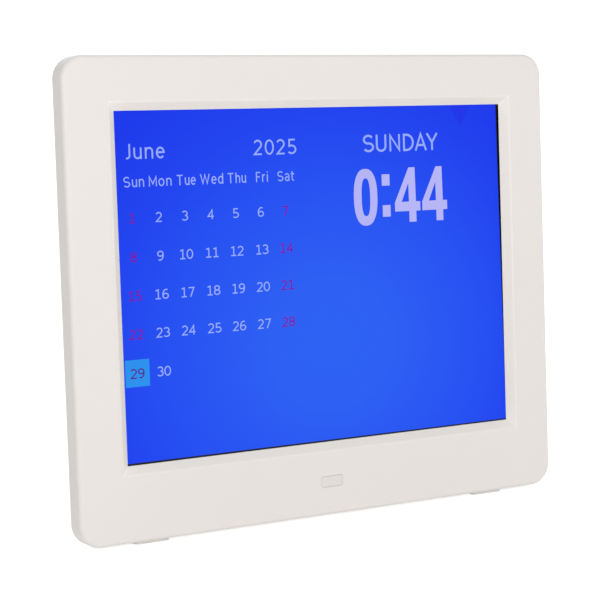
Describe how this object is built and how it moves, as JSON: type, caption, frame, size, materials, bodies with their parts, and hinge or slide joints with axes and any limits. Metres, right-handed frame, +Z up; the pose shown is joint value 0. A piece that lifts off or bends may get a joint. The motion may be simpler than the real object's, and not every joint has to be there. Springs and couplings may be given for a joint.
{
  "type": "desk day clock",
  "caption": "Desk clock with a wide calendar display in a white plastic frame, a raised rear housing with push buttons and sockets, and a fold-out leg.",
  "frame": {"origin": "on the table, midway between the clock's front and the foot of its open leg, at the middle of its width", "axes": "+X to the viewer's right along the frame's width, -Y towards the viewer, +Z up; the frame leans back 10 degrees"},
  "size_m": [0.201, 0.0588, 0.166],
  "materials": {
    "shell": "fine satin texture, warm white",
    "button": "satin, warm white",
    "rubber": "soft, grey",
    "receiver_window": "smooth, slightly translucent white",
    "steel": "zinc plated",
    "foam": "closed-cell foam, black",
    "display": "smooth polariser over a lit blue picture",
    "light_guide": "clear acrylic with white film",
    "lamp_strip": "white strip with yellow lamps",
    "tin": "tinned sheet",
    "flex": "amber film",
    "pale_plastic": "moulded, cream",
    "board": "green solder mask",
    "dark_plastic": "moulded, black",
    "wire": "thin flexible sleeve"
  },
  "bodies": {
    "clock": {"front_bezel": "shell", "rear_cover": "shell", "front_feet": "rubber", "ir_window": "receiver_window", "case_screws": "steel", "lcd_gasket": "foam", "lcd_glass": "display", "light_guide": "light_guide", "led_bar": "lamp_strip", "lcd_tray": "tin", "lcd_clips": "steel", "clip_screws": "steel", "lcd_flex": "flex", "flex_socket": "pale_plastic", "main_board": "board", "board_screws": "steel", "processor": "dark_plastic", "memory_chip": "dark_plastic", "crystal": "tin", "capacitors": "tin", "inductor": "dark_plastic", "wire_sockets": "pale_plastic", "key_switches": "dark_plastic", "coin_cell": "steel", "cell_holder": "dark_plastic", "dc_jack": "dark_plastic", "usb_socket": "tin", "card_socket": "tin", "speaker": "dark_plastic", "speaker_seal": "foam", "speaker_wires": "wire", "ir_receiver": "dark_plastic", "ir_board": "board", "ir_screws": "steel", "ir_wires": "wire", "hinge_pin": "steel", "hinge_washers": "tin"},
    "leg": {"stand_leg": "shell", "stand_foot": "rubber"},
    "power_key": {"power_button": "button", "power_plunger": "dark_plastic"},
    "menu_key": {"menu_button": "button", "menu_plunger": "dark_plastic"},
    "left_key": {"left_button": "button", "left_plunger": "dark_plastic"},
    "up_key": {"up_button": "button", "up_plunger": "dark_plastic"},
    "down_key": {"down_button": "button", "down_plunger": "dark_plastic"},
    "right_key": {"right_button": "button", "right_plunger": "dark_plastic"},
    "ok_key": {"ok_button": "button", "ok_plunger": "dark_plastic"}
  },
  "joints": [
    {"name": "leg_fold", "type": "hinge", "parent": "clock", "child": "leg", "pos_m": [0, 0.00781, 0.08861], "axis": [-1, 0, 0], "range_deg": [0, 22]},
    {"name": "power_press", "type": "slide", "parent": "clock", "child": "power_key", "axis": [0, -0.9848, 0.1736], "range_m": [0, 0.0005], "stiffness_N_per_m": 500, "springref_m": -0.0008},
    {"name": "menu_press", "type": "slide", "parent": "clock", "child": "menu_key", "axis": [0, -0.9848, 0.1736], "range_m": [0, 0.0005], "stiffness_N_per_m": 500, "springref_m": -0.0008},
    {"name": "left_press", "type": "slide", "parent": "clock", "child": "left_key", "axis": [0, -0.9848, 0.1736], "range_m": [0, 0.0005], "stiffness_N_per_m": 500, "springref_m": -0.0008},
    {"name": "up_press", "type": "slide", "parent": "clock", "child": "up_key", "axis": [0, -0.9848, 0.1736], "range_m": [0, 0.0005], "stiffness_N_per_m": 500, "springref_m": -0.0008},
    {"name": "down_press", "type": "slide", "parent": "clock", "child": "down_key", "axis": [0, -0.9848, 0.1736], "range_m": [0, 0.0005], "stiffness_N_per_m": 500, "springref_m": -0.0008},
    {"name": "right_press", "type": "slide", "parent": "clock", "child": "right_key", "axis": [0, -0.9848, 0.1736], "range_m": [0, 0.0005], "stiffness_N_per_m": 500, "springref_m": -0.0008},
    {"name": "ok_press", "type": "slide", "parent": "clock", "child": "ok_key", "axis": [0, -0.9848, 0.1736], "range_m": [0, 0.0005], "stiffness_N_per_m": 500, "springref_m": -0.0008}
  ]
}
